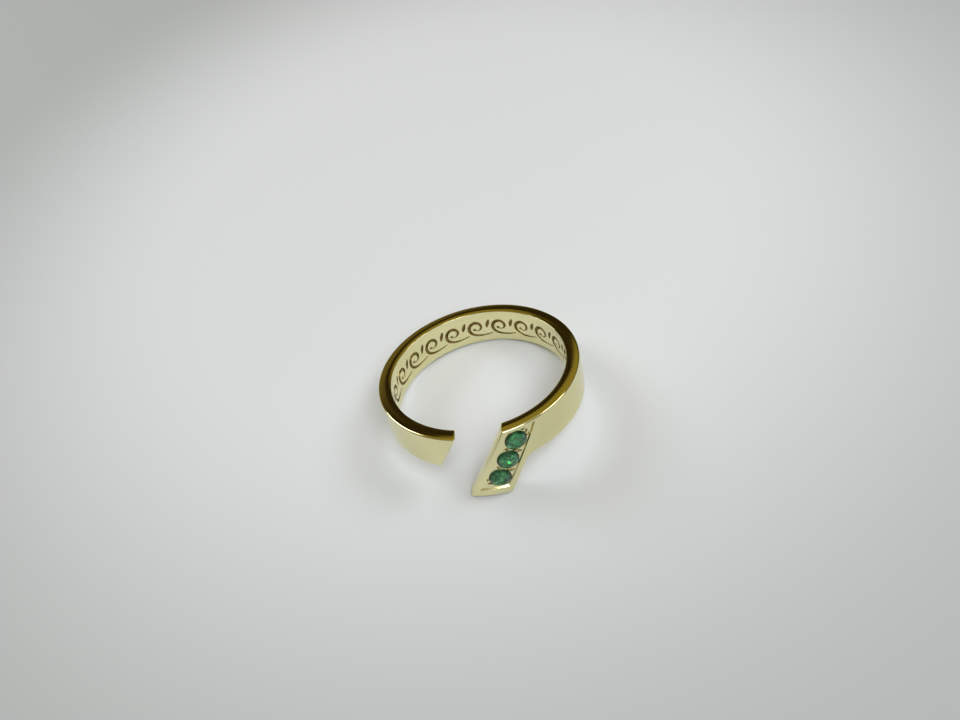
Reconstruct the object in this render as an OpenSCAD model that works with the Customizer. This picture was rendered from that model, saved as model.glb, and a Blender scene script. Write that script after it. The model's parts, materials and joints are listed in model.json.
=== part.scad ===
// Open finger ring, flat band, with a slanted head plate of three round stones at one end
// and a plain slanted tail at the other. It lies as it rests on a table: on the two lower
// corners of the plate and on the far lower edge of the band. +Z is up and -Y is the front.

/* [Band] */
// Inner diameter of the band, the finger size
finger_d = 17; // [15:0.5:21]
// Thickness of the metal
wall = 1.25; // [1.2:0.05:1.6]
// Width of the band along the finger
band_w = 3.7; // [3:0.1:4.5]
// Radius that softens the long edges
edge_r = 0.15; // [0.05:0.05:0.3]

/* [Ends] */
// Lean of the end cuts away from the finger axis, in degrees
slant = 30; // [20:1:36]
// Opening between the tail and the plate, along the outer face
gap_w = 4.1; // [3.5:0.1:6]
// Width of the head plate along the outer face
plate_w = 4; // [3.9:0.05:4.6]
// Height of the head plate, twice the band
plate_h = 7.5; // [7.3:0.1:8.4]
// Radius of the inside corner between band and plate
corner_r = 1.3; // [1:0.1:2.6]
// Radius of the plate's blunt lower corner
heel_r = 0.25; // [0.1:0.05:0.5]

/* [Stones] */
// Diameter of a stone at its girdle
stone_d = 2; // [1.6:0.05:2.05]
// Distance between the stones along their slanted row
stone_pitch = 2.25; // [2.15:0.05:2.3]
// Height of the middle stone above the middle of the plate
row_lift = 0.25; // [0:0.05:0.4]
// Depth of the sunk field that holds the stones
field_depth = 0.14; // [0.1:0.02:0.2]
// How far the girdle of a stone lies under the metal's face
girdle_sink = 0.05; // [0:0.01:0.1]
// Width of the flat border along the slanted sides of the field
border_side = 0.55; // [0.45:0.05:0.6]
// Height of the border above the field
border_top = 0.35; // [0.3:0.05:0.5]
// Height of the border below the field
border_bottom = 0.8; // [0.5:0.05:0.9]

/* [Hidden] */
$fn = 96;
inner_r = finger_d / 2;
outer_r = inner_r + wall;
stone_r = stone_d / 2;
lean_per_mm = tan(slant);
// Parts of a round cut stone, as shares of its diameter
table_share = 0.56;
crown_share = 0.15;
girdle_share = 0.03;
pavilion_share = 0.4;
// Space left between a stone and the side of its seat, and under its girdle
seat_gap = 0.03;
seat_drop = 0.09;
// How far cutting shapes reach past what they cut
past = 1;
// From the plate's middle line to where the round corner ends, and on to where the band begins
corner_reach = plate_w / 2 + corner_r / tan(45 + slant / 2);
head_reach = corner_reach + 0.3;
// Half of the angle that the plate's lower edge takes up, seen from above
foot_half_angle = degrees_of(plate_w / 2);
// The gap is one straight cut. It runs square to the band here along the outer face, and its
// sides stand this far to the left and right of that, at the middle of the band.
gap_left = (gap_w + plate_w / 2) / 2;
gap_at = plate_middle(-band_w / 2) - gap_left;
gap_right = outer_r * sin(degrees_of(gap_left - plate_w / 2));
// Lean of the finger axis from upright when the ring rests by itself
rest_lean = atan((plate_h - band_w) / (outer_r + inner_r * cos(foot_half_angle)));

// Angle at the centre for a length along the outer face
function degrees_of(length) = length / outer_r * 180 / PI;

// Place of the plate's middle line along the outer face, at height z under the top edge
function plate_middle(z) = (z + plate_h) * lean_per_mm;

// Corners of a slanted strip between two heights, x measured from its middle at height z_mid
function strip(half_w, z_low, z_high, z_mid) = [
    [(z_low - z_mid) * lean_per_mm - half_w, z_low],
    [(z_low - z_mid) * lean_per_mm + half_w, z_low],
    [(z_high - z_mid) * lean_per_mm + half_w, z_high],
    [(z_high - z_mid) * lean_per_mm - half_w, z_high]
];

// Outline with each corner [x, y, radius] rounded by an arc of a few straight steps
function softened(corners, steps) = [
    for (i = [0 : len(corners) - 1])
        let (
            n = len(corners),
            at = [corners[i].x, corners[i].y],
            back = unit([corners[(i + n - 1) % n].x, corners[(i + n - 1) % n].y] - at),
            on = unit([corners[(i + 1) % n].x, corners[(i + 1) % n].y] - at),
            half_angle = acos(back * on) / 2,
            r = corners[i].z,
            centre = at + unit(back + on) * r / sin(half_angle),
            start = at + back * r / tan(half_angle) - centre,
            finish = at + on * r / tan(half_angle) - centre
        )
        for (k = r > 0 ? [0 : steps] : [0])
            r > 0 ? centre + r * unit(start * (steps - k) / steps + finish * k / steps) : at
];

function unit(v) = v / norm(v);

// Puts its children, drawn facing -Y, at a place along the outer face
module at_place(along) {
    rotate([0, 0, degrees_of(along)]) children();
}

// Pushes a drawing out through the wall, from the axis outwards
module through_wall() {
    rotate([90, 0, 0]) linear_extrude(outer_r + past) children();
}

// From the ring's own frame, top edge at z = 0 and plate in front, to how it rests
module at_rest() {
    foot_z = plate_h * cos(rest_lean) - inner_r * cos(foot_half_angle) * sin(rest_lean);
    translate([0, plate_h * sin(rest_lean) / 2, foot_z]) rotate([-rest_lean, 0, 0]) children();
}

// Flat strip of metal with softened long edges, bent into a full hoop
module hoop(width) {
    rotate_extrude($fn = 180) polygon(softened([
        [inner_r, -width, edge_r],
        [outer_r, -width, edge_r],
        [outer_r, 0, edge_r],
        [inner_r, 0, edge_r]
    ], 3));
}

// Outline of the plate with the round corner on its right, x measured from the plate's
// middle line at half its height. Each corner has its own radius. The left side lies in the gap.
module plate_outline() {
    half_w = plate_w / 2;
    left_x = -half_w - past;
    z_mid = -plate_h / 2;
    lean_at = function(z) (z - z_mid) * lean_per_mm;
    // The round corner ends inside the band's softened lower edge
    corner_z = -band_w + edge_r;
    corner_x = lean_at(corner_z) + half_w;
    side_x = (corner_reach + head_reach) / 2;
    polygon(softened([
        [lean_at(-plate_h) + left_x, -plate_h, 0],
        [lean_at(-plate_h) + half_w, -plate_h, heel_r],
        [corner_x, corner_z, corner_r],
        [lean_at(corner_z) + side_x, corner_z, 0],
        [lean_at(0) + side_x, 0, 0],
        [lean_at(0) + left_x, 0, 0]
    ], 8));
}

module plate() {
    intersection() {
        hoop(plate_h);
        at_place(plate_middle(-plate_h / 2)) through_wall() plate_outline();
    }
}

// The gap between tail and plate, its two walls parallel
module gap() {
    half_w = (gap_left + gap_right) / 2;
    at_place(gap_at) through_wall() translate([gap_right - half_w, 0])
        polygon(strip(half_w, -plate_h - past, past, -band_w / 2));
}

// Stretch of the hoop's width that the head takes up, from a start beside the plate's middle
// line to the straight slanted cut where the band begins
module head_stretch(start) {
    half_w = (head_reach - start) / 2;
    at_place(plate_middle(-plate_h / 2)) through_wall()
        translate([start + half_w, 0]) polygon(strip(half_w, -band_w - past, past, -plate_h / 2));
}

// Sunk field with bright-cut sides
module field() {
    z_mid = -plate_h / 2;
    difference() {
        at_place(plate_middle(z_mid)) through_wall()
            polygon(strip(plate_w / 2 - border_side / cos(slant), -plate_h + border_bottom, -border_top, z_mid));
        translate([0, 0, -plate_h - past]) cylinder(r = outer_r - field_depth, h = plate_h + 2 * past, $fn = 180);
    }
}

// Puts its children, drawn with the girdle's top at z = 0 and the table up, in one seat
module in_seat(step) {
    z = -plate_h / 2 + row_lift + step * stone_pitch * cos(slant);
    at_place(plate_middle(z)) translate([0, -outer_r + girdle_sink, z]) rotate([90, 0, 0]) children();
}

// Round cut stone: crown, girdle and pavilion
module stone() {
    cylinder(r1 = stone_r, r2 = stone_r * table_share, h = stone_d * crown_share);
    translate([0, 0, -stone_d * girdle_share]) cylinder(r = stone_r, h = stone_d * girdle_share);
    translate([0, 0, -stone_d * (girdle_share + pavilion_share)])
        cylinder(r1 = 0, r2 = stone_r, h = stone_d * pavilion_share);
}

// Seat drilled for a stone, with a little space all round
module seat() {
    seat_r = stone_r + seat_gap;
    shoulder = stone_d * girdle_share + seat_drop;
    translate([0, 0, -shoulder]) cylinder(r = seat_r, h = shoulder + girdle_sink + past);
    translate([0, 0, -shoulder - stone_d * pavilion_share])
        cylinder(r1 = 0, r2 = seat_r, h = stone_d * pavilion_share);
}

// Hoop opened from the tail cut to the head
module band() {
    color("goldenrod") at_rest() difference() {
        hoop(band_w);
        gap();
        head_stretch(-plate_w / 2 - past);
    }
}

// Plate with its round corner and the short stretch of band above it
module head() {
    color("gold") at_rest() difference() {
        union() {
            plate();
            intersection() {
                hoop(band_w);
                head_stretch(0);
            }
        }
        gap();
        field();
        for (step = [-1, 0, 1]) in_seat(step) seat();
    }
}

module stone_upper() {
    color("seagreen") at_rest() in_seat(1) stone();
}

module stone_middle() {
    color("seagreen") at_rest() in_seat(0) stone();
}

module stone_lower() {
    color("seagreen") at_rest() in_seat(-1) stone();
}

band();
head();
stone_upper();
stone_middle();
stone_lower();
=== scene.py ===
import json
from math import asin, atan, cos, pi, radians, sin, sqrt, tan

import bmesh
import bpy
from mathutils import Matrix, Vector

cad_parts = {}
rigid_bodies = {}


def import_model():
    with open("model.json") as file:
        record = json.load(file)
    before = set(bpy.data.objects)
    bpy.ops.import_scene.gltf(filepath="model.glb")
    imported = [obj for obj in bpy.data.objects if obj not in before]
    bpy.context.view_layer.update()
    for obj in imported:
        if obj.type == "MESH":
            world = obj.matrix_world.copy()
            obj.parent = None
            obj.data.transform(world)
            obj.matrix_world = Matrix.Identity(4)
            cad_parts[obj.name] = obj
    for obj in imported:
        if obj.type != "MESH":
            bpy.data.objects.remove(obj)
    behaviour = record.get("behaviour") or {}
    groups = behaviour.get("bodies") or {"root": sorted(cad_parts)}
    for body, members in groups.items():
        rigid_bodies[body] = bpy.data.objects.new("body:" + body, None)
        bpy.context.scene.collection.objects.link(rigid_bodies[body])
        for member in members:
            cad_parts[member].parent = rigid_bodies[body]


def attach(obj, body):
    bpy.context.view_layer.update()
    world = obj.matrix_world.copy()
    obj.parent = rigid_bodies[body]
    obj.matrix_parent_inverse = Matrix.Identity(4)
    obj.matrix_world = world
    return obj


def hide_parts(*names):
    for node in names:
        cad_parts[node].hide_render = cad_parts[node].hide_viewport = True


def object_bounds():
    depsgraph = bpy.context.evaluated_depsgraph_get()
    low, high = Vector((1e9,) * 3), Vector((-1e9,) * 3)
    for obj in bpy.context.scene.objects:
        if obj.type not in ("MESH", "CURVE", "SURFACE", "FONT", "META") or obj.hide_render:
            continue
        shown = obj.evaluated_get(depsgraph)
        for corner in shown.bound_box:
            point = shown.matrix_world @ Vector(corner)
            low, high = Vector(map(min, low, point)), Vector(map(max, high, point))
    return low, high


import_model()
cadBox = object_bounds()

# The pieces are made in millimetres in the ring's own frame, with its top edge at z = 0, the
# finger along Z and the head plate in front. A finished piece goes to metres and is laid down.
ring = {
    "innerRadius": 8.5,
    "outerRadius": 9.75,
    "bandWidth": 3.7,
    "slant": radians(30),       # lean of the end cuts
    "gap": 4.1,                 # opening along the outer face
    "plateWidth": 4.0,
    "plateHeight": 7.5,
}
outerRadius = ring["outerRadius"]
bandWidth = ring["bandWidth"]
plateHeight = ring["plateHeight"]
slant = ring["slant"]
wall = outerRadius - ring["innerRadius"]
lean = tan(slant)
plateHalf = ring["plateWidth"] / 2
plateMiddle = -plateHeight / 2
hair = 0.001                    # points closer than this are taken as one place

# it lies on the plate's two lower corners and on the far lower edge of the band
footReach = ring["innerRadius"] * cos(plateHalf / outerRadius)
restLean = atan((plateHeight - bandWidth) / (outerRadius + footReach))
footHeight = plateHeight * cos(restLean) - footReach * sin(restLean)
restPlace = (Matrix.Translation((0, plateHeight * sin(restLean) / 2, footHeight))
             @ Matrix.Rotation(-restLean, 4, "X"))
toTable = Matrix.Scale(0.001, 4) @ restPlace


def clearSelection():
    if bpy.context.object and bpy.context.object.mode != "OBJECT":
        bpy.ops.object.mode_set(mode="OBJECT")
    bpy.ops.object.select_all(action="DESELECT")


def selectPieces(pieces):
    clearSelection()
    for piece in pieces:
        piece.select_set(True)
    bpy.context.view_layer.objects.active = pieces[0]


# selects, in edit mode, the vertices, edges or faces that pass a test
def pick(kind, test):
    bpy.ops.mesh.select_mode(type=kind)
    bpy.ops.mesh.select_all(action="DESELECT")
    mesh = bmesh.from_edit_mesh(bpy.context.object.data)
    parts = {"VERT": mesh.verts, "EDGE": mesh.edges, "FACE": mesh.faces}[kind]
    for part in parts:
        if test(part):
            part.select_set(True)
    bmesh.update_edit_mesh(bpy.context.object.data)


# cuts what is selected along an upright plane through x, y, facing angle; clear takes that side away
def saw(x, y, angle, clear=False):
    bpy.ops.mesh.bisect(plane_co=(x, y, 0), plane_no=(cos(angle), sin(angle), 0),
                        clear_outer=clear, threshold=0.00001)


def applyModifier(piece, kind, **values):
    modifier = piece.modifiers.new(kind.lower(), kind)
    for name, value in values.items():
        setattr(modifier, name, value)
    bpy.context.view_layer.objects.active = piece
    bpy.ops.object.modifier_apply(modifier=modifier.name)


def takeAway(piece, cutter):
    applyModifier(piece, "BOOLEAN", operation="DIFFERENCE", solver="EXACT", object=cutter)
    bpy.data.objects.remove(cutter)


def copyOf(original):
    piece = original.copy()
    piece.data = original.data.copy()
    bpy.context.scene.collection.objects.link(piece)
    return piece


def joinAll(pieces):
    selectPieces(pieces)
    bpy.ops.object.join()
    return bpy.context.object


# lays a finished piece on the table and hands it to the frame
def finishPiece(piece, name, nodes):
    clearSelection()
    piece.data.transform(toTable)
    piece.data.update()
    piece.name = piece.data.name = name
    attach(piece, "root")
    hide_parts(*nodes)


def between(low, value, high):
    return max(low, min(high, value))


# The flat drawing of the ring: x runs along the outer face from the plate's middle line at half
# its height, y is the height and z points outwards from the outer face. The gap is one straight
# saw cut, so both its walls lie along one direction. The plate's other side is cut square to the
# middle of the plate. The drawing is folded so that these walls stay flat.
gapLeft = (ring["gap"] + plateHalf) / 2             # from the saw cut's middle to the tail's wall
gapAt = (plateHeight - bandWidth / 2) * lean - gapLeft
gapRight = outerRadius * sin((gapLeft - plateHalf) / outerRadius)
gapTurn = gapAt / outerRadius
headTurn = -plateMiddle * lean / outerRadius
tailTurn = 2 * pi + gapTurn
fold = {
    "flat": 5.4,            # how far from the head and the tail the walls stay flat
    "fade": 9.0,            # and from where they point at the finger's axis again
    "border": 0.6,          # width over which the gap's direction passes into the plate's own
}
flatTurn = asin(fold["flat"] / outerRadius)
tailX = 2 * fold["flat"] + outerRadius * (tailTurn - headTurn - 2 * flatTurn)


# angle round the finger at which a point of the drawing ends up, given its distance from the axis
def turnAt(x, y, radius):
    atHead = x < tailX / 2
    beside = x if atHead else x - tailX
    near = between(-fold["flat"], beside, fold["flat"])
    straight = between(0, (fold["fade"] - abs(beside)) / (fold["fade"] - fold["flat"]), 1)
    onFace = asin(near / outerRadius)
    turn = (headTurn if atHead else tailTurn) + (beside - near) / outerRadius + onFace
    turn += straight * (asin(near / radius) - onFace)
    if atHead:
        fromMiddle = x - (y - plateMiddle) * lean
        share = between(0, (fold["border"] - plateHalf - fromMiddle) / fold["border"], 1)
        if share:
            across = x + gapRight + plateHalf - (plateHeight - bandWidth) / 2 * lean
            turn += share * (gapTurn + asin(across / radius) - turn)
    return turn


def foldOnFinger(piece):
    for vertex in piece.data.vertices:
        x, y, z = vertex.co
        radius = outerRadius + z
        turn = turnAt(x, y, radius)
        vertex.co = (radius * sin(turn), -radius * cos(turn), y)


# numbers of the gold's finishes, in the order of its material slots
finish = {"polished": 0, "inner": 1, "cut": 2, "engraved": 3}


def giveFinishes(piece, number):
    for material in goldFinishes:
        piece.data.materials.append(material)
    piece.data.polygons.foreach_set("material_index", [number] * len(piece.data.polygons))


body = {
    "blankLength": 70, "blankMiddle": 30,          # the strip that the outline is sawn from
    "crown": 0.045,                                # the middle of a side stands proud of its rims
    "crownAt": [0.2, 0.41, 0.625, 0.84, 1.05],     # depths of the lines along the sides
    "rim": 0.12, "innerRim": 0.035,                # softness of the rims
    "cornerRound": 0.75,                           # from the inside corner to where its round ends
    "tip": 0.16, "heel": 0.15, "brow": 0.05,       # the same for the plate's other corners
    "tailTop": 0.12, "tailFoot": 0.14,
    "columnStep": 0.22, "columnShift": 0.37,       # lines across that let the strip bend
    "columnMargin": 2,                             # how far past the ends they are counted
    "sideBorder": 0.55, "topBorder": 0.35, "footBorder": 0.8,      # flat gold round the field
    "fieldDepth": 0.14,
    "wallRun": 0.05,                               # how far the field's sides slope in
    "brightCut": [                                 # further slope at a corner: side, end, x, y
        (1, "top", 0.0, 0.0), (1, "foot", -0.075, 0.09), (-1, "foot", 0.03, 0.09), (-1, "top", 0.03, 0.0),
    ],
    "cornerReach": 0.3,
    "drawingScale": 10,                            # millimetres to one unit of the UV map
}
crown = body["crown"]

# the outline is drawn along the rims, which lie inside the crown of the sides
half = plateHalf - crown / cos(slant)
top, bandFoot, plateFoot = -crown, crown - bandWidth, crown - plateHeight


# x of the plate's middle line at a height
def slantAt(y):
    return (y - plateMiddle) * lean


# x of the tail's end at a height
def tailAt(y):
    return tailX - gapLeft - crown / cos(slant) + (y + bandWidth / 2) * lean


# the ring's outline, drawn flat and left in edit mode
def drawOutline():
    clearSelection()
    bpy.ops.mesh.primitive_plane_add(size=1)
    piece = bpy.context.object
    piece.scale = (body["blankLength"], top - bandFoot, 1)
    piece.location = (body["blankMiddle"], (top + bandFoot) / 2, 0)
    bpy.ops.object.transform_apply(location=True, rotation=True, scale=True)
    bpy.ops.object.mode_set(mode="EDIT")
    bpy.ops.mesh.select_all(action="SELECT")
    saw(slantAt(top) - half, top, pi - slant, clear=True)
    bpy.ops.mesh.select_all(action="SELECT")
    saw(tailAt(top), top, -slant, clear=True)
    bpy.ops.mesh.select_all(action="SELECT")
    saw(slantAt(top) + half, top, -slant)

    # the plate drops from the stretch between the two slanted lines
    def underPlate(edge):
        middle = (edge.verts[0].co + edge.verts[1].co) / 2
        return abs(middle.y - bandFoot) < hair and middle.x < slantAt(bandFoot) + half

    pick("EDGE", underPlate)
    drop = bandFoot - plateFoot
    bpy.ops.mesh.extrude_region_move(TRANSFORM_OT_translate={"value": (-drop * lean, -drop, 0)})
    bpy.ops.mesh.select_all(action="SELECT")
    bpy.ops.mesh.dissolve_limited(angle_limit=0.001)

    # rounded corners: place, how far the round reaches, number of steps
    corners = [
        (slantAt(bandFoot) + half, bandFoot, body["cornerRound"], 12),
        (slantAt(plateFoot) - half, plateFoot, body["tip"], 6),
        (slantAt(plateFoot) + half, plateFoot, body["heel"], 4),
        (slantAt(top) - half, top, body["brow"], 3),
        (tailAt(top), top, body["tailTop"], 5),
        (tailAt(bandFoot), bandFoot, body["tailFoot"], 4),
    ]
    for x, y, reach, steps in corners:
        corner = Vector((x, y, 0))
        pick("VERT", lambda v: (v.co - corner).length < hair)
        bpy.ops.mesh.bevel(offset=reach, offset_type="OFFSET", segments=steps, profile=0.5,
                           affect="VERTICES", clamp_overlap=False)
    return piece


# the wall's thickness in steps, the lines between the rims pushed out into a slight crown
def thicken():
    done = 0
    for depth in body["crownAt"] + [wall]:
        if done == 0:
            bpy.ops.mesh.select_all(action="SELECT")
        else:
            pick("FACE", lambda f: all(abs(v.co.z + done) < hair for v in f.verts))
        bpy.ops.mesh.extrude_region_move(TRANSFORM_OT_translate={"value": (0, 0, done - depth)})
        done = depth
    bpy.ops.mesh.select_all(action="SELECT")
    bpy.ops.mesh.normals_make_consistent(inside=False)
    for depth in body["crownAt"]:
        pick("VERT", lambda v: abs(v.co.z + depth) < hair)
        bpy.ops.transform.shrink_fatten(value=crown * (1 - (2 * depth / wall - 1) ** 2))
    for depth, softness in ((0, body["rim"]), (wall, body["innerRim"])):
        pick("EDGE", lambda e: all(abs(v.co.z + depth) < hair for v in e.verts))
        bpy.ops.mesh.bevel(offset=softness, offset_type="OFFSET", segments=3, profile=0.5,
                           affect="EDGES", clamp_overlap=False)


# the sunk field that holds the stones, with its bright-cut sides
def sinkField():
    fieldHalf = plateHalf - body["sideBorder"] / cos(slant)
    ends = {"top": -body["topBorder"], "foot": body["footBorder"] - plateHeight}

    def onOuterFace(f):
        return f.normal.z > 0.99 and all(abs(v.co.z) < hair for v in f.verts)

    def inField(f):
        middle = f.calc_center_median()
        return (onOuterFace(f) and abs(middle.x - slantAt(middle.y)) < fieldHalf
                and ends["foot"] < middle.y < ends["top"])

    lines = [(slantAt(0) - fieldHalf, 0, -slant), (slantAt(0) + fieldHalf, 0, -slant),
             (0, ends["top"], pi / 2), (0, ends["foot"], pi / 2)]
    for x, y, angle in lines:
        pick("FACE", onOuterFace)
        saw(x, y, angle)
    pick("FACE", inField)
    bpy.ops.mesh.inset(thickness=body["wallRun"], depth=-body["fieldDepth"])
    for side, end, x, y in body["brightCut"]:
        corner = Vector((slantAt(ends[end]) + side * fieldHalf, ends[end], -body["fieldDepth"]))

        def atCorner(v):
            return abs(v.co.z - corner.z) < hair and (v.co - corner).length < body["cornerReach"]

        pick("VERT", atCorner)
        bpy.ops.transform.translate(value=(x, y, 0))


# lines across, close enough that the folded ring is round
def addColumns():
    start = slantAt(plateFoot) - body["columnMargin"]
    count = int((tailAt(0) + body["columnMargin"] - start) / body["columnStep"])
    for i in range(count):
        bpy.ops.mesh.select_all(action="SELECT")
        saw(start + (i + body["columnShift"]) * body["columnStep"], 0, 0)


# the inner wall and the sunk field take their own finish
def markFinishes(piece):
    giveFinishes(piece, finish["polished"])
    for face in piece.data.polygons:
        depths = [-piece.data.vertices[i].co.z for i in face.vertices]
        if min(depths) > wall - hair:
            face.material_index = finish["inner"]
        elif abs(max(depths) - body["fieldDepth"]) < hair:
            face.material_index = finish["cut"]


# keeps the place on the flat drawing as the UV map
def keepDrawing(piece):
    drawing = piece.data.uv_layers.new(name="drawing")
    for loop in piece.data.loops:
        x, y, z = piece.data.vertices[loop.vertex_index].co
        drawing.data[loop.index].uv = (x / body["drawingScale"], y / body["drawingScale"])


def makeBody():
    piece = drawOutline()
    thicken()
    sinkField()
    addColumns()
    bpy.ops.object.mode_set(mode="OBJECT")
    print("flat body:", len(piece.data.polygons), "faces")
    markFinishes(piece)
    keepDrawing(piece)
    foldOnFinger(piece)
    return piece


# the slanted row of seats, and the drill that cuts them
seats = {
    "pitch": 2.25,
    "lift": 0.25,            # middle stone above the middle of the plate
    "sink": 0.05,            # girdle under the metal's face
    "stoneRadius": 1.0,
    "play": 0.045,           # room round a stone
    "shoulder": 0.15,        # how far the drill's upright side reaches under the girdle
    "cone": 0.8,             # height of its point
    "drillLength": 1.0,
}


# place of a seat in the row: step -1, 0 or 1, local z outwards, girdle of the stone at 0
def seatPlace(step):
    height = plateMiddle + seats["lift"] + step * seats["pitch"] * cos(slant)
    turn = (height + plateHeight) * lean / outerRadius
    return (Matrix.Rotation(turn, 4, "Z") @ Matrix.Translation((0, seats["sink"] - outerRadius, height))
            @ Matrix.Rotation(pi / 2, 4, "X"))


def makeDrill():
    clearSelection()
    bpy.ops.mesh.primitive_cylinder_add(
        vertices=72, radius=seats["stoneRadius"] + seats["play"], depth=seats["drillLength"],
        location=(0, 0, seats["drillLength"] / 2 - seats["shoulder"]))
    drill = bpy.context.object
    bpy.ops.object.transform_apply(location=True, rotation=True, scale=True)
    bpy.ops.object.mode_set(mode="EDIT")
    pick("FACE", lambda f: f.normal.z < -0.9)
    bpy.ops.mesh.extrude_region_move(TRANSFORM_OT_translate={"value": (0, 0, -seats["cone"])})
    bpy.ops.mesh.merge(type="CENTER")
    bpy.ops.mesh.select_all(action="SELECT")
    bpy.ops.mesh.normals_make_consistent(inside=False)
    bpy.ops.object.mode_set(mode="OBJECT")
    giveFinishes(drill, finish["cut"])
    for face in drill.data.polygons:
        if abs(face.normal.z) < 0.1:
            # painted shade: the seat's upright side takes the dark engraved finish, painted as a dark line
            # round the stone
            face.material_index = finish["engraved"]       # dark line round the stone
    return drill


def sinkSeats(piece):
    drill = makeDrill()
    for step in (-1, 0, 1):
        cutter = copyOf(drill)
        cutter.data.transform(seatPlace(step))
        takeAway(piece, cutter)
    bpy.data.objects.remove(drill)


# Grains of metal raised from the field's floor over the stones' edges, and the short furrows that
# the graver leaves behind them.
grains = {
    "flatness": 0.75,
    "furrowLength": 0.24, "furrowWidth": 0.12, "furrowTip": 0.01,
    "furrowStart": 0.6,              # from the grain's middle, as a share of its radius
    "furrowRise": 0.01,              # the graver's nose runs this far above the floor
    # stone's step in the row, how far up the row and how far to its right, radius of the grain,
    # way of its furrow, in degrees clockwise from straight up the row
    "places": [
        (1, -1.12, 0.16, 0.10, None), (1, -1.12, 0.43, 0.17, 75), (1, -1.10, 0.76, 0.13, 95),
        (1, -1.27, 0.62, 0.11, None), (1, -1.12, -0.50, 0.15, -90),
        (0, -1.12, 0.42, 0.15, 90), (0, -1.14, 0.78, 0.17, 60), (0, -1.28, 0.60, 0.11, None),
        (0, -1.10, -0.50, 0.15, -80),
        (1, 0.98, 0.62, 0.16, 40), (1, 1.22, 0.36, 0.13, -100), (1, 0.70, 0.93, 0.13, 20),
        (1, 1.12, 0.66, 0.10, None), (1, 0.75, -0.80, 0.14, -150),
        (-1, -0.62, -0.94, 0.15, -170), (-1, -1.02, -0.62, 0.14, -120), (-1, -0.45, 1.00, 0.12, 0),
    ],
}


# from a grain's own frame, z outwards, to its place in the field
def grainPlace(step, along, across, rise=0):
    x = along * sin(slant) + across * cos(slant)
    y = along * cos(slant) - across * sin(slant)
    sag = x ** 2 / 2 / outerRadius                         # the floor falls away round the finger
    return seatPlace(step) @ Matrix.Translation((x, y, seats["sink"] - body["fieldDepth"] - sag + rise))


def cutFurrows(piece):
    clearSelection()
    length = grains["furrowLength"]
    bpy.ops.mesh.primitive_cone_add(vertices=10, radius1=grains["furrowWidth"], radius2=grains["furrowTip"],
                                    depth=length)
    nose = bpy.context.object
    nose.data.transform(Matrix.Rotation(-pi / 2, 4, "X") @ Matrix.Translation((0, 0, length / 2)))
    giveFinishes(nose, finish["engraved"])
    for step, along, across, size, way in grains["places"]:
        if way is None:
            continue
        furrow = copyOf(nose)
        furrow.data.transform(grainPlace(step, along, across, grains["furrowRise"])
                              @ Matrix.Rotation(-slant - radians(way), 4, "Z")
                              @ Matrix.Translation((0, size * grains["furrowStart"], 0)))
        takeAway(piece, furrow)
    bpy.data.objects.remove(nose)


def makeGrains():
    clearSelection()
    bpy.ops.mesh.primitive_uv_sphere_add(segments=20, ring_count=12, radius=1)
    grain = bpy.context.object
    bpy.ops.object.shade_smooth()
    made = []
    for step, along, across, size, way in grains["places"]:
        one = copyOf(grain)
        one.data.transform(grainPlace(step, along, across)
                           @ Matrix.Diagonal((size, size, size * grains["flatness"], 1)))
        made.append(one)
    bpy.data.objects.remove(grain)
    return joinAll(made)


# A running scroll is engraved round the inner wall. Each wave is two swelling strokes: a curl
# that winds in to its eye, and a short leaf in the hollow between two curls.
scroll = {
    "pitch": 2.4,
    "curl": 0.98, "eye": 0.26,                     # radius of the curl at its start and at its eye
    "turns": (-152, 345),                          # degrees that the curl runs through
    "leadIn": 0.85, "leadInSpeed": 18,             # how much further out it starts, and how soon it joins
    "leaf": [(-1.46, 0.86), (-1.20, 0.45), (-1.06, -0.16)],       # start, bend and end
    "curlSteps": 60, "leafSteps": 12,
    "stroke": 0.225,                               # radius of the graver's nose at full width
    "lift": 0.08,                                  # its middle stays this far out of the wall
    "curlThin": 0.42, "leafThin": 0.34,            # share of the width where a stroke starts
    "curlFullness": 0.7, "leafFullness": 0.8,      # lower is thick for longer
    "swellEnd": 0.8,                               # share of the curl after which it is thin again
    "eyeAt": 0.95, "eyeReach": 0.05,               # its round end, as shares of the curl
    "eyeWidth": 0.96,
    "headClear": 4.6, "tailClear": 2.4,            # plain wall at the head and at the tail
}


def curlPoints():
    start, end = scroll["turns"]
    points = []
    for i in range(scroll["curlSteps"] + 1):
        along = i / scroll["curlSteps"]
        angle = radians(start + (end - start) * along)
        reach = scroll["curl"] + (scroll["eye"] - scroll["curl"]) * along
        reach += scroll["leadIn"] * (1 - along) ** scroll["leadInSpeed"]
        swell = sin(pi * min(1, along / scroll["swellEnd"])) ** scroll["curlFullness"]
        eye = sqrt(max(0, 1 - ((along - scroll["eyeAt"]) / scroll["eyeReach"]) ** 2))
        width = max(scroll["curlThin"] + (1 - scroll["curlThin"]) * swell, scroll["eyeWidth"] * eye)
        points.append((reach * cos(angle), reach * sin(angle), width))
    return points


def leafPoints():
    start, bend, end = [Vector(corner) for corner in scroll["leaf"]]
    points = []
    for i in range(scroll["leafSteps"] + 1):
        along = i / scroll["leafSteps"]
        place = start.lerp(bend, along).lerp(bend.lerp(end, along), along)
        swell = sin(pi * along) ** scroll["leafFullness"]
        points.append((*place, scroll["leafThin"] + (1 - scroll["leafThin"]) * swell))
    return points


def strokeAlong(points):
    data = bpy.data.curves.new("stroke", "CURVE")
    data.dimensions = "3D"
    data.bevel_depth = scroll["stroke"]
    data.bevel_resolution = 1
    data.use_fill_caps = True
    line = data.splines.new("POLY")
    line.points.add(len(points) - 1)
    for point, (x, y, share) in zip(line.points, points):
        point.co = (x, y, -wall - scroll["lift"], 1)
        point.radius = share
    stroke = bpy.data.objects.new("stroke", data)
    bpy.context.scene.collection.objects.link(stroke)
    return stroke


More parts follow.
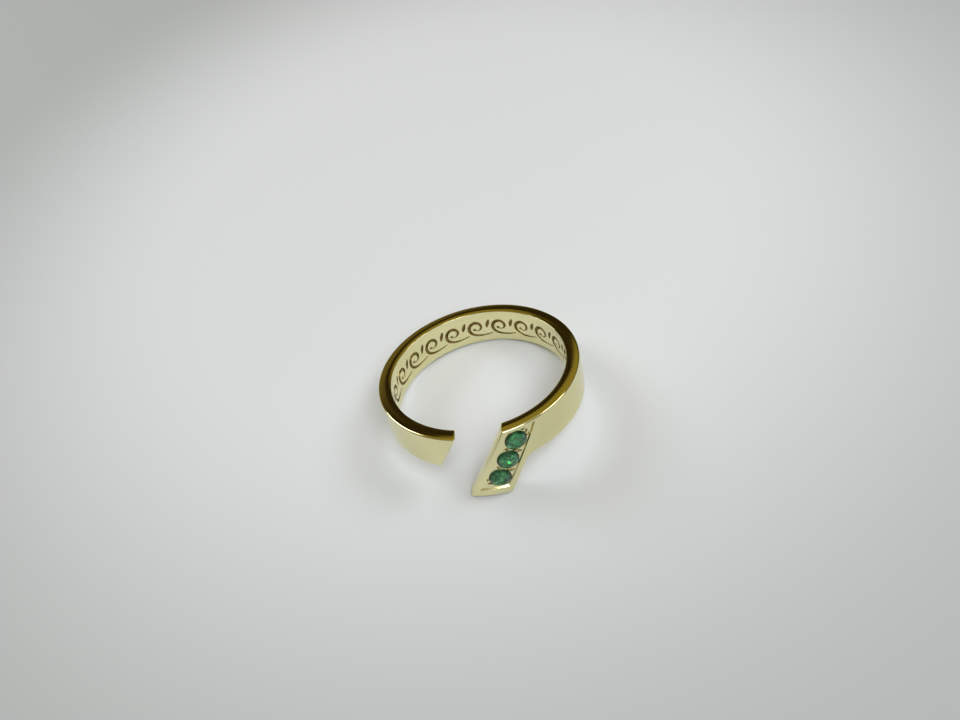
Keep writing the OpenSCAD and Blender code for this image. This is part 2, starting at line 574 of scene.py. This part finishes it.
def makeWave():
    selectPieces([strokeAlong(curlPoints()), strokeAlong(leafPoints())])
    bpy.ops.object.convert(target="MESH")
    bpy.ops.object.join()
    bpy.ops.object.mode_set(mode="EDIT")
    bpy.ops.mesh.select_all(action="SELECT")
    bpy.ops.mesh.remove_doubles(threshold=0.00001)
    bpy.ops.mesh.normals_make_consistent(inside=False)
    bpy.ops.object.mode_set(mode="OBJECT")
    return bpy.context.object


def engraveScroll(piece):
    wave = makeWave()
    stretch = outerRadius / ring["innerRadius"]      # the drawing is measured along the outer face
    first = scroll["headClear"]
    room = tailX - gapLeft - scroll["tailClear"] - first
    count = int(room / (scroll["pitch"] * stretch))
    waves = []
    for i in range(count):
        one = copyOf(wave)
        one.data.transform(Matrix.Translation((first + (i + 0.5) * room / count, -bandWidth / 2, 0))
                           @ Matrix.Diagonal((stretch, 1, 1, 1)))
        waves.append(one)
    bpy.data.objects.remove(wave)
    graver = joinAll(waves)
    foldOnFinger(graver)
    giveFinishes(graver, finish["engraved"])
    takeAway(piece, graver)
    print("scroll engraved:", count, "waves")


cleaning = {
    "shortEdge": 0.0005,            # edges up to this length are closed up
    "slightBend": radians(25),
    "smoothUpTo": radians(32),      # edges that bend less than this are shaded smooth
}


# takes out the points that the cuts leave on nearly straight edges, and shades the gold
def cleanCuts(piece):
    selectPieces([piece])
    bpy.ops.object.mode_set(mode="EDIT")
    bpy.ops.mesh.select_all(action="SELECT")
    bpy.ops.mesh.dissolve_degenerate(threshold=cleaning["shortEdge"])
    pick("VERT", lambda v: len(v.link_edges) == 2 and v.calc_edge_angle(0) < cleaning["slightBend"])
    bpy.ops.mesh.dissolve_verts()
    bpy.ops.object.mode_set(mode="OBJECT")
    bpy.ops.object.shade_smooth_by_angle(angle=cleaning["smoothUpTo"])
    applyModifier(piece, "WEIGHTED_NORMAL", keep_sharp=True, weight=80)


# adds a shader node; settings are its own options and values go on its sockets
def addNode(tree, kind, values=None, **settings):
    node = tree.nodes.new("ShaderNode" + kind)
    for name, value in settings.items():
        setattr(node, name, value)
    for name, value in (values or {}).items():
        node.inputs[name].default_value = value
    return node


def newMaterial(name):
    material = bpy.data.materials.new(name)
    material.use_nodes = True
    tree = material.node_tree
    return material, tree, tree.links.new, tree.nodes["Principled BSDF"]


# fine polish marks and soft haze on metal: height for a bump, marks and cloud as masks
polish = {
    "ways": [                                        # turn and stretch of the two sets of marks
        ((0.3, 0.5, 0.2), (700, 22000, 22000)),
        ((1.1, -0.4, 1.3), (19000, 600, 19000)),
    ],
    "detail": 3,
    "ridge": (0.60, 0.80),                           # part of the noise that shows as a mark
    "markDepth": -0.012,                             # beside the swell, which is 1 high
    "markRoughness": 0.07,                           # added to the finish's own in a mark
    "cloud": {"Scale": 450, "Detail": 4},
    "swell": {"Scale": 260, "Detail": 1},            # slow unevenness of the hand polished face
}


def makePolishGroup():
    group = bpy.data.node_groups.new("polishMarks", "ShaderNodeTree")
    for name, default in (("Density", 1.0), ("Seed", 0.0)):
        socket = group.interface.new_socket(name, in_out="INPUT", socket_type="NodeSocketFloat")
        socket.default_value = default
    for name in ("Height", "Marks", "Cloud"):
        group.interface.new_socket(name, in_out="OUTPUT", socket_type="NodeSocketFloat")
    link = group.links.new
    fromOutside, toOutside = group.nodes.new("NodeGroupInput"), group.nodes.new("NodeGroupOutput")
    place = addNode(group, "TexCoord")
    both = addNode(group, "Math", operation="MAXIMUM")
    lowest, highest = polish["ridge"]
    for side, (turn, stretch) in enumerate(polish["ways"]):
        mapping = addNode(group, "Mapping", {"Rotation": turn, "Scale": stretch})
        noise = addNode(group, "TexNoise", {"Detail": polish["detail"]}, noise_dimensions="4D")
        ridge = addNode(group, "MapRange", {"From Min": lowest, "From Max": highest})
        link(place.outputs["Object"], mapping.inputs["Vector"])
        link(mapping.outputs["Vector"], noise.inputs["Vector"])
        link(fromOutside.outputs["Density"], noise.inputs["Scale"])
        link(fromOutside.outputs["Seed"], noise.inputs["W"])
        link(noise.outputs["Fac"], ridge.inputs["Value"])
        link(ridge.outputs["Result"], both.inputs[side])
    cloud = addNode(group, "TexNoise", polish["cloud"])
    swell = addNode(group, "TexNoise", polish["swell"])
    height = addNode(group, "Math", {1: polish["markDepth"]}, operation="MULTIPLY_ADD")
    link(place.outputs["Object"], cloud.inputs["Vector"])
    link(place.outputs["Object"], swell.inputs["Vector"])
    link(both.outputs[0], height.inputs[0])
    link(swell.outputs["Fac"], height.inputs[2])
    link(height.outputs[0], toOutside.inputs["Height"])
    link(both.outputs[0], toOutside.inputs["Marks"])
    link(cloud.outputs["Fac"], toOutside.inputs["Cloud"])
    return group


polishMarks = makePolishGroup()

goldColour = {
    "yellow": (0.84, 0.795, 0.475, 1),
    "deeper": (0.82, 0.76, 0.41, 1),
    "brown": (0.36, 0.27, 0.085, 1),
    # the next colour is dark in the graver's cuts, and painted shade round the stones
    "darkCutAndShade": (0.12, 0.08, 0.02, 1),     # in the graver's cuts and round the stones
}
# the finishes: bump is a height in metres and chatter the scale of the spots in it
goldLook = {
    "polished": {
        "colours": ("yellow", "deeper"), "roughness": 0.08, "bump": 0.00002,
        "marks": {"Seed": 0.0, "Density": 1.0},
    },
    "satin": {
        "colours": ("yellow", "deeper"), "roughness": 0.2, "bump": 0.0000025,
        "marks": {"Seed": 1.0, "Density": 1.0},
    },
    "cut": {
        "colours": ("yellow", "deeper"), "roughness": 0.24, "bump": 0.000006,
        "marks": {"Seed": 2.0, "Density": 1.2},
    },
    # dark in the graver's cuts; on the seats' sides this finish is painted shade round the stones
    "engraved": {
        "colours": ("darkCutAndShade", "brown"), "roughness": 0.4, "bump": 0.00001,
        "marks": {"Seed": 3.0, "Density": 0.8}, "chatter": 9000,
    },
    "grain": {
        "colours": ("deeper", "darkCutAndShade"), "roughness": 0.2, "bump": 0.00002,
        "marks": {"Seed": 4.0, "Density": 0.8}, "chatter": 6500,
    },
}


def makeGold(name, look):
    material, tree, link, shader = newMaterial(name)
    shader.inputs["Metallic"].default_value = 1
    roughness = look["roughness"]
    one, other = [goldColour[colour] for colour in look["colours"]]
    marks = addNode(tree, "Group", look["marks"], node_tree=polishMarks)
    tone = addNode(tree, "Mix", {"A": one, "B": other}, name="tone", data_type="RGBA")
    rough = addNode(tree, "MapRange", {"To Min": roughness, "To Max": roughness + polish["markRoughness"]})
    bump = addNode(tree, "Bump", {"Strength": 1, "Distance": look["bump"]}, name="bump")
    link(marks.outputs["Cloud"], tone.inputs["Factor"])
    link(tone.outputs["Result"], shader.inputs["Base Color"])
    link(marks.outputs["Marks"], rough.inputs["Value"])
    link(rough.outputs["Result"], shader.inputs["Roughness"])
    link(marks.outputs["Height"], bump.inputs["Height"])
    link(bump.outputs["Normal"], shader.inputs["Normal"])
    return material


brushed = {"along": 9, "across": 330, "detail": 5}      # scale of the lines along and across the wall


# fine lines of the satin finish, which run along the inner wall by its own drawing
def brushAlong(material):
    tree = material.node_tree
    drawing = addNode(tree, "UVMap", uv_map="drawing")
    stretch = addNode(tree, "Mapping", {"Scale": (brushed["along"], brushed["across"], 1)})
    lines = addNode(tree, "TexNoise", {"Scale": 1, "Detail": brushed["detail"]})
    tree.links.new(drawing.outputs["UV"], stretch.inputs["Vector"])
    tree.links.new(stretch.outputs["Vector"], lines.inputs["Vector"])
    tree.links.new(lines.outputs["Fac"], tree.nodes["bump"].inputs["Height"])


chatter = {
    "cloudScale": 0.6,                      # scale of the patches, as a share of the spots' scale
    "cloudDetail": 4,
    "cloudFrom": 0.35, "cloudTo": 0.65,
}


# grainy metal left by the graver: spots at the size of the tool's chatter, light and dark patches
def addChatter(material, scale):
    tree = material.node_tree
    place = addNode(tree, "TexCoord")
    spots = addNode(tree, "TexVoronoi", {"Scale": scale})
    clouds = addNode(tree, "TexNoise", {"Scale": scale * chatter["cloudScale"],
                                        "Detail": chatter["cloudDetail"]})
    share = addNode(tree, "MapRange", {"From Min": chatter["cloudFrom"], "From Max": chatter["cloudTo"]})
    tree.links.new(place.outputs["Object"], spots.inputs["Vector"])
    tree.links.new(place.outputs["Object"], clouds.inputs["Vector"])
    tree.links.new(clouds.outputs["Fac"], share.inputs["Value"])
    tree.links.new(share.outputs["Result"], tree.nodes["tone"].inputs["Factor"])
    tree.links.new(spots.outputs["Distance"], tree.nodes["bump"].inputs["Height"])


polishedGold = makeGold("polished yellow gold", goldLook["polished"])
innerGold = makeGold("satin inner wall", goldLook["satin"])
brushAlong(innerGold)
cutGold = makeGold("cut floor", goldLook["cut"])
engravedAndShadeGold = makeGold("engraved cuts and stone shade", goldLook["engraved"])
addChatter(engravedAndShadeGold, goldLook["engraved"]["chatter"])
grainGold = makeGold("raised grains", goldLook["grain"])
addChatter(grainGold, goldLook["grain"]["chatter"])
goldFinishes = [polishedGold, innerGold, cutGold, engravedAndShadeGold]
print("gold finishes ready")

goldBody = makeBody()
sinkSeats(goldBody)
cutFurrows(goldBody)
print("seats and furrows cut")
engraveScroll(goldBody)
cleanCuts(goldBody)
finishPiece(goldBody, "goldBody", ["band", "head"])
print("gold body:", len(goldBody.data.polygons), "faces")

emeraldLook = {
    "clear": (0.035, 0.40, 0.17, 1),
    "veiled": (0.32, 0.90, 0.48, 1),
    "veil": {"Scale": 1500, "Detail": 5, "Distortion": 1.2},
    "veilFrom": 0.35, "veilTo": 0.65,
    "flashScale": 3600, "flashFrom": 0.15, "flashTo": 0.85,
    # painted highlights and shade: a flash makes the colour this much darker or lighter
    "paintedDarkest": 0.32, "paintedBrightest": 1.8,                # light that the flashes give back
    # painted shade: the colour darkens to this towards the girdle
    "paintedRimShade": (0.010, 0.07, 0.025, 1),                  # towards the girdle
    "edgeFrom": 0.66, "edgeShare": 0.95,
    "transmission": 0.82, "ior": 1.54, "roughness": 0.03,
}


def makeEmerald():
    material, tree, link, shader = newMaterial("green stone")
    look = emeraldLook
    place = addNode(tree, "TexCoord")

    # cloudy veils in clear green
    veil = addNode(tree, "TexNoise", look["veil"])
    spread = addNode(tree, "MapRange", {"From Min": look["veilFrom"], "From Max": look["veilTo"]})
    tone = addNode(tree, "Mix", {"A": look["clear"], "B": look["veiled"]}, data_type="RGBA")
    link(place.outputs["Object"], veil.inputs["Vector"])
    link(veil.outputs["Fac"], spread.inputs["Value"])
    link(spread.outputs["Result"], tone.inputs["Factor"])

    # painted highlights and shade: flashes, each cell lighter or darker than the next
    flashes = addNode(tree, "TexVoronoi", {"Scale": look["flashScale"], "Randomness": 1})
    oneOf = addNode(tree, "SeparateColor")
    flash = addNode(tree, "MapRange", {"From Min": look["flashFrom"], "From Max": look["flashTo"],
                                       "To Min": look["paintedDarkest"], "To Max": look["paintedBrightest"]})
    flashed = addNode(tree, "VectorMath", operation="SCALE")
    link(place.outputs["Object"], flashes.inputs["Vector"])
    link(flashes.outputs["Color"], oneOf.inputs["Color"])
    link(oneOf.outputs["Red"], flash.inputs["Value"])
    link(tone.outputs["Result"], flashed.inputs[0])
    link(flash.outputs["Result"], flashed.inputs["Scale"])

    # painted shade: darker green towards the girdle
    seenFromTop = addNode(tree, "UVMap", uv_map="seenFromTop")
    fromMiddle = addNode(tree, "VectorMath", operation="LENGTH")
    edge = addNode(tree, "MapRange", {"From Min": look["edgeFrom"], "To Max": look["edgeShare"]},
                   interpolation_type="SMOOTHSTEP")
    paintedRimShade = addNode(tree, "Mix", {"B": look["paintedRimShade"]}, data_type="RGBA")
    link(seenFromTop.outputs["UV"], fromMiddle.inputs[0])
    link(fromMiddle.outputs["Value"], edge.inputs["Value"])
    link(edge.outputs["Result"], paintedRimShade.inputs["Factor"])
    link(flashed.outputs["Vector"], paintedRimShade.inputs["A"])
    link(paintedRimShade.outputs["Result"], shader.inputs["Base Color"])
    shader.inputs["Transmission Weight"].default_value = look["transmission"]
    shader.inputs["IOR"].default_value = look["ior"]
    shader.inputs["Roughness"].default_value = look["roughness"]
    return material


# A round cut stone, ground facet by facet from a round blank. Each kind of facet has its turn from
# the last main one and its slope, in degrees. A facet is a flat through the girdle's edge, or
# through the table's for the stars.
stoneCut = {
    "blankHeight": 2.4,
    "table": 0.56, "crownHeight": 0.3, "girdle": 0.06,
    "crownMains": (0, 34.3), "crownHalves": (11.25, 36.2), "stars": (22.5, 25.0),
    "pavilionMains": (0, 38.66), "pavilionHalves": (11.25, 39.1),
}


def grind(turn, slope, reach, height, upwards=1):
    bpy.ops.mesh.select_all(action="SELECT")
    bpy.ops.mesh.bisect(plane_co=(reach * cos(turn), reach * sin(turn), height),
                        plane_no=(sin(slope) * cos(turn), sin(slope) * sin(turn), upwards * cos(slope)),
                        clear_outer=True, use_fill=True, threshold=0.00001)


def makeStone():
    radius, girdleFoot, crownTop = seats["stoneRadius"], -stoneCut["girdle"], stoneCut["crownHeight"]
    clearSelection()
    bpy.ops.mesh.primitive_cylinder_add(vertices=64, radius=radius, depth=stoneCut["blankHeight"])
    stone = bpy.context.object
    bpy.ops.object.mode_set(mode="EDIT")
    grind(0, 0, 0, crownTop)
    for i in range(8):
        eighth = i * pi / 4
        turn, slope = stoneCut["crownMains"]
        grind(eighth + radians(turn), radians(slope), radius, 0)
        turn, slope = stoneCut["stars"]
        grind(eighth + radians(turn), radians(slope), stoneCut["table"] * cos(pi / 8), crownTop)
        turn, slope = stoneCut["pavilionMains"]
        grind(eighth + radians(turn), radians(slope), radius, girdleFoot, -1)
        for side in (-1, 1):
            turn, slope = stoneCut["crownHalves"]
            grind(eighth + side * radians(turn), radians(slope), radius, 0)
            turn, slope = stoneCut["pavilionHalves"]
            grind(eighth + side * radians(turn), radians(slope), radius, girdleFoot, -1)
    bpy.ops.mesh.select_all(action="SELECT")
    bpy.ops.mesh.normals_make_consistent(inside=False)
    bpy.ops.object.mode_set(mode="OBJECT")
    seenFromTop = stone.data.uv_layers.new(name="seenFromTop")      # the middle of the stone at 0, 0
    for loop in stone.data.loops:
        x, y, z = stone.data.vertices[loop.vertex_index].co
        seenFromTop.data[loop.index].uv = (x / radius, y / radius)
    return stone


emerald = makeEmerald()
stoneTurns = {"lower": (-1, 0.2), "middle": (0, 0.55), "upper": (1, 0.35)}    # step in the row, own turn
blank = makeStone()
for name, (step, turn) in stoneTurns.items():
    stone = copyOf(blank)
    stone.data.transform(seatPlace(step) @ Matrix.Rotation(turn, 4, "Z"))
    stone.data.materials.append(emerald)
    finishPiece(stone, name + "Stone", ["stone_" + name])
bpy.data.objects.remove(blank)
print("three stones set")

settingGrains = makeGrains()
settingGrains.data.materials.append(grainGold)
finishPiece(settingGrains, "settingGrains", [])
print("grains raised")

# the table under the ring
floorLook = {
    "size": 0.5,
    "colour": (0.79, 0.84, 0.925, 1),
    "patch": (0.765, 0.815, 0.90, 1),
    "patches": {"Scale": 12, "Detail": 2},
    # painted pool of light: the floor is painted darker, to the far colour, away from the bright spot
    # between these distances
    "far": (0.49, 0.525, 0.57, 1),
    "paintedLightSpot": (-0.006, 0.032, 0),            # it darkens away from here, between these distances
    "fadeFrom": 0.030, "fadeTo": 0.080,
    "roughness": 0.9, "gloss": 0.1,
}


def makeFloor():
    clearSelection()
    bpy.ops.mesh.primitive_plane_add(size=floorLook["size"], location=(0, 0, cadBox[0].z))
    bpy.ops.object.transform_apply(location=True)
    floor = bpy.context.object
    floor.name = "floor"
    material, tree, link, shader = newMaterial("pale floor")
    place = addNode(tree, "TexCoord")
    noise = addNode(tree, "TexNoise", floorLook["patches"])
    tone = addNode(tree, "Mix", {"A": floorLook["colour"], "B": floorLook["patch"]}, data_type="RGBA")
    # painted pool of light: the colour fades to the far colour away from the bright spot
    away = addNode(tree, "VectorMath", {1: floorLook["paintedLightSpot"]}, operation="DISTANCE")
    fade = addNode(tree, "MapRange", {"From Min": floorLook["fadeFrom"], "From Max": floorLook["fadeTo"]},
                   interpolation_type="SMOOTHSTEP")
    paintedShadeFade = addNode(tree, "Mix", {"B": floorLook["far"]}, data_type="RGBA")
    link(place.outputs["Object"], noise.inputs["Vector"])
    link(noise.outputs["Fac"], tone.inputs["Factor"])
    link(place.outputs["Object"], away.inputs[0])
    link(away.outputs["Value"], fade.inputs["Value"])
    link(fade.outputs["Result"], paintedShadeFade.inputs["Factor"])
    link(tone.outputs["Result"], paintedShadeFade.inputs["A"])
    link(paintedShadeFade.outputs["Result"], shader.inputs["Base Color"])
    shader.inputs["Roughness"].default_value = floorLook["roughness"]
    shader.inputs["Specular IOR Level"].default_value = floorLook["gloss"]
    floor.data.materials.append(material)


makeFloor()
print("floor laid")

# Soft light from three large boxes and a pale ceiling. The room is dark and warm low down, darker
# still on the left and paler in front, which the polished edges of the gold show. The camera
# itself sees a plain pale backdrop past the floor's edge.
light = {
    "bands": [                                   # height of the direction, colour
        (0.16, (0.070, 0.060, 0.020)),
        (0.24, (0.024, 0.015, 0.004)),
        (0.40, (0.020, 0.012, 0.003)),
        (0.45, (0.23, 0.175, 0.030)),
        (0.70, (0.31, 0.22, 0.032)),
        (0.90, (0.46, 0.45, 0.43)),
    ],
    "leftFrom": 0.05, "leftTo": -0.25,           # the bands climb from here to there, by these amounts
    "climb": [(0, 0), (0.25, 0.05), (0.6, 0.075), (0.85, 0.16), (1, 0.21)],
    "glow": (0.13, 0.095, 0.022, 1),             # low down on the left
    "glowFrom": 0.30, "glowTo": 0.20,
    "ahead": (0.31, 0.295, 0.255, 1),            # in front, behind the camera
    "aheadFrom": -0.30, "aheadTo": -0.70,
    "backdrop": (0.63, 0.65, 0.65, 1),
    "room": 1.0,                                 # strength of all these
    # the boxes: place and width in metres, power in watts
    "front": {"at": (0.084, -0.145, 0.249), "size": 0.17, "power": 0.355},
    "right": {"at": (0.198, 0.053, 0.219), "size": 0.13, "power": 0.20},
    "window": {"at": (-0.20, 0.125, 0.185), "size": 0.15, "power": 0.25},
}


def setStops(ramp, stops):
    elements = ramp.color_ramp.elements
    while len(elements) < len(stops):
        elements.new(0.5)
    for element, (position, colour) in zip(elements, stops):
        element.position = position
        element.color = (*colour, 1)


def makeRoom():
    world = bpy.data.worlds.new("studio")
    world.use_nodes = True
    bpy.context.scene.world = world
    tree = world.node_tree
    link = tree.links.new
    place = addNode(tree, "TexCoord")
    split = addNode(tree, "SeparateXYZ")
    link(place.outputs["Generated"], split.inputs[0])

    # bands of colour by height, which climb on the left
    leftness = addNode(tree, "MapRange", {"From Min": light["leftFrom"], "From Max": light["leftTo"]})
    climb = addNode(tree, "ValToRGB")
    setStops(climb, [(position, (amount, amount, amount)) for position, amount in light["climb"]])
    height = addNode(tree, "Math", operation="SUBTRACT")
    bands = addNode(tree, "ValToRGB")
    setStops(bands, light["bands"])
    link(split.outputs["X"], leftness.inputs["Value"])
    link(leftness.outputs["Result"], climb.inputs["Fac"])
    link(split.outputs["Z"], height.inputs[0])
    link(climb.outputs["Color"], height.inputs[1])
    link(height.outputs[0], bands.inputs["Fac"])

    # the glow low down on the left
    low = addNode(tree, "MapRange", {"From Min": light["glowFrom"], "From Max": light["glowTo"]})
    lowLeft = addNode(tree, "Math", operation="MULTIPLY")
    glow = addNode(tree, "Mix", {"B": light["glow"]}, data_type="RGBA")
    link(height.outputs[0], low.inputs["Value"])
    link(low.outputs["Result"], lowLeft.inputs[0])
    link(leftness.outputs["Result"], lowLeft.inputs[1])
    link(lowLeft.outputs[0], glow.inputs["Factor"])
    link(bands.outputs["Color"], glow.inputs["A"])

    # the paler front, and the backdrop
    share = addNode(tree, "MapRange", {"From Min": light["aheadFrom"], "From Max": light["aheadTo"]},
                    interpolation_type="SMOOTHSTEP")
    ahead = addNode(tree, "Mix", {"B": light["ahead"]}, data_type="RGBA")
    path = addNode(tree, "LightPath")
    backdrop = addNode(tree, "Mix", {"B": light["backdrop"]}, data_type="RGBA")
    link(split.outputs["Y"], share.inputs["Value"])
    link(share.outputs["Result"], ahead.inputs["Factor"])
    link(glow.outputs["Result"], ahead.inputs["A"])
    link(path.outputs["Is Camera Ray"], backdrop.inputs["Factor"])
    link(ahead.outputs["Result"], backdrop.inputs["A"])
    link(backdrop.outputs["Result"], tree.nodes["Background"].inputs["Color"])
    tree.nodes["Background"].inputs["Strength"].default_value = light["room"]


def addSoftbox(name):
    values = light[name]
    data = bpy.data.lights.new(name + "Softbox", "AREA")
    data.shape = "DISK"
    data.size = values["size"]
    data.energy = values["power"]
    lamp = bpy.data.objects.new(data.name, data)
    lamp.location = values["at"]
    lamp.rotation_euler = (-lamp.location).to_track_quat("-Z", "Y").to_euler()
    bpy.context.scene.collection.objects.link(lamp)


makeRoom()
for name in ("front", "right", "window"):
    addSoftbox(name)
print("room and softboxes lit")

# The camera stands where the photograph was taken from, worked out in the ring's own frame:
# it looks at the middle of the top edge.
camera = {
    "azimuth": radians(10.9),
    "elevation": radians(38.83),
    "roll": radians(-15.41),
    "distance": 87.18,
    "lens": 34.40,
    "picture": (960, 720),
    "lookAt": (477.37, 366.40),     # where in the picture that middle falls
    "clip": (0.001, 20),            # in metres
}


def makeCamera():
    data = bpy.data.cameras.new("camera")
    data.lens = camera["lens"]
    data.clip_start, data.clip_end = camera["clip"]
    width, height = camera["picture"]
    data.shift_x = (width / 2 - camera["lookAt"][0]) / width
    data.shift_y = (camera["lookAt"][1] - height / 2) / width
    eye = bpy.data.objects.new("camera", data)
    bpy.context.scene.collection.objects.link(eye)
    azimuth, elevation, roll = camera["azimuth"], camera["elevation"], camera["roll"]
    back = Vector((sin(azimuth) * cos(elevation), -cos(azimuth) * cos(elevation), sin(elevation)))
    right = (-back).cross(Vector((0, 0, 1))).normalized()
    up = back.cross(right)
    across = right * cos(roll) + up * sin(roll)
    upwards = up * cos(roll) - right * sin(roll)
    turn = Matrix((across, upwards, back)).transposed().to_4x4()
    place = toTable @ Matrix.Translation(back * camera["distance"]) @ turn
    eye.location = place.to_translation()
    eye.rotation_euler = place.to_3x3().normalized().to_euler()
    bpy.context.scene.camera = eye


makeCamera()
bpy.context.scene.view_settings.view_transform = "Standard"
print("camera set")
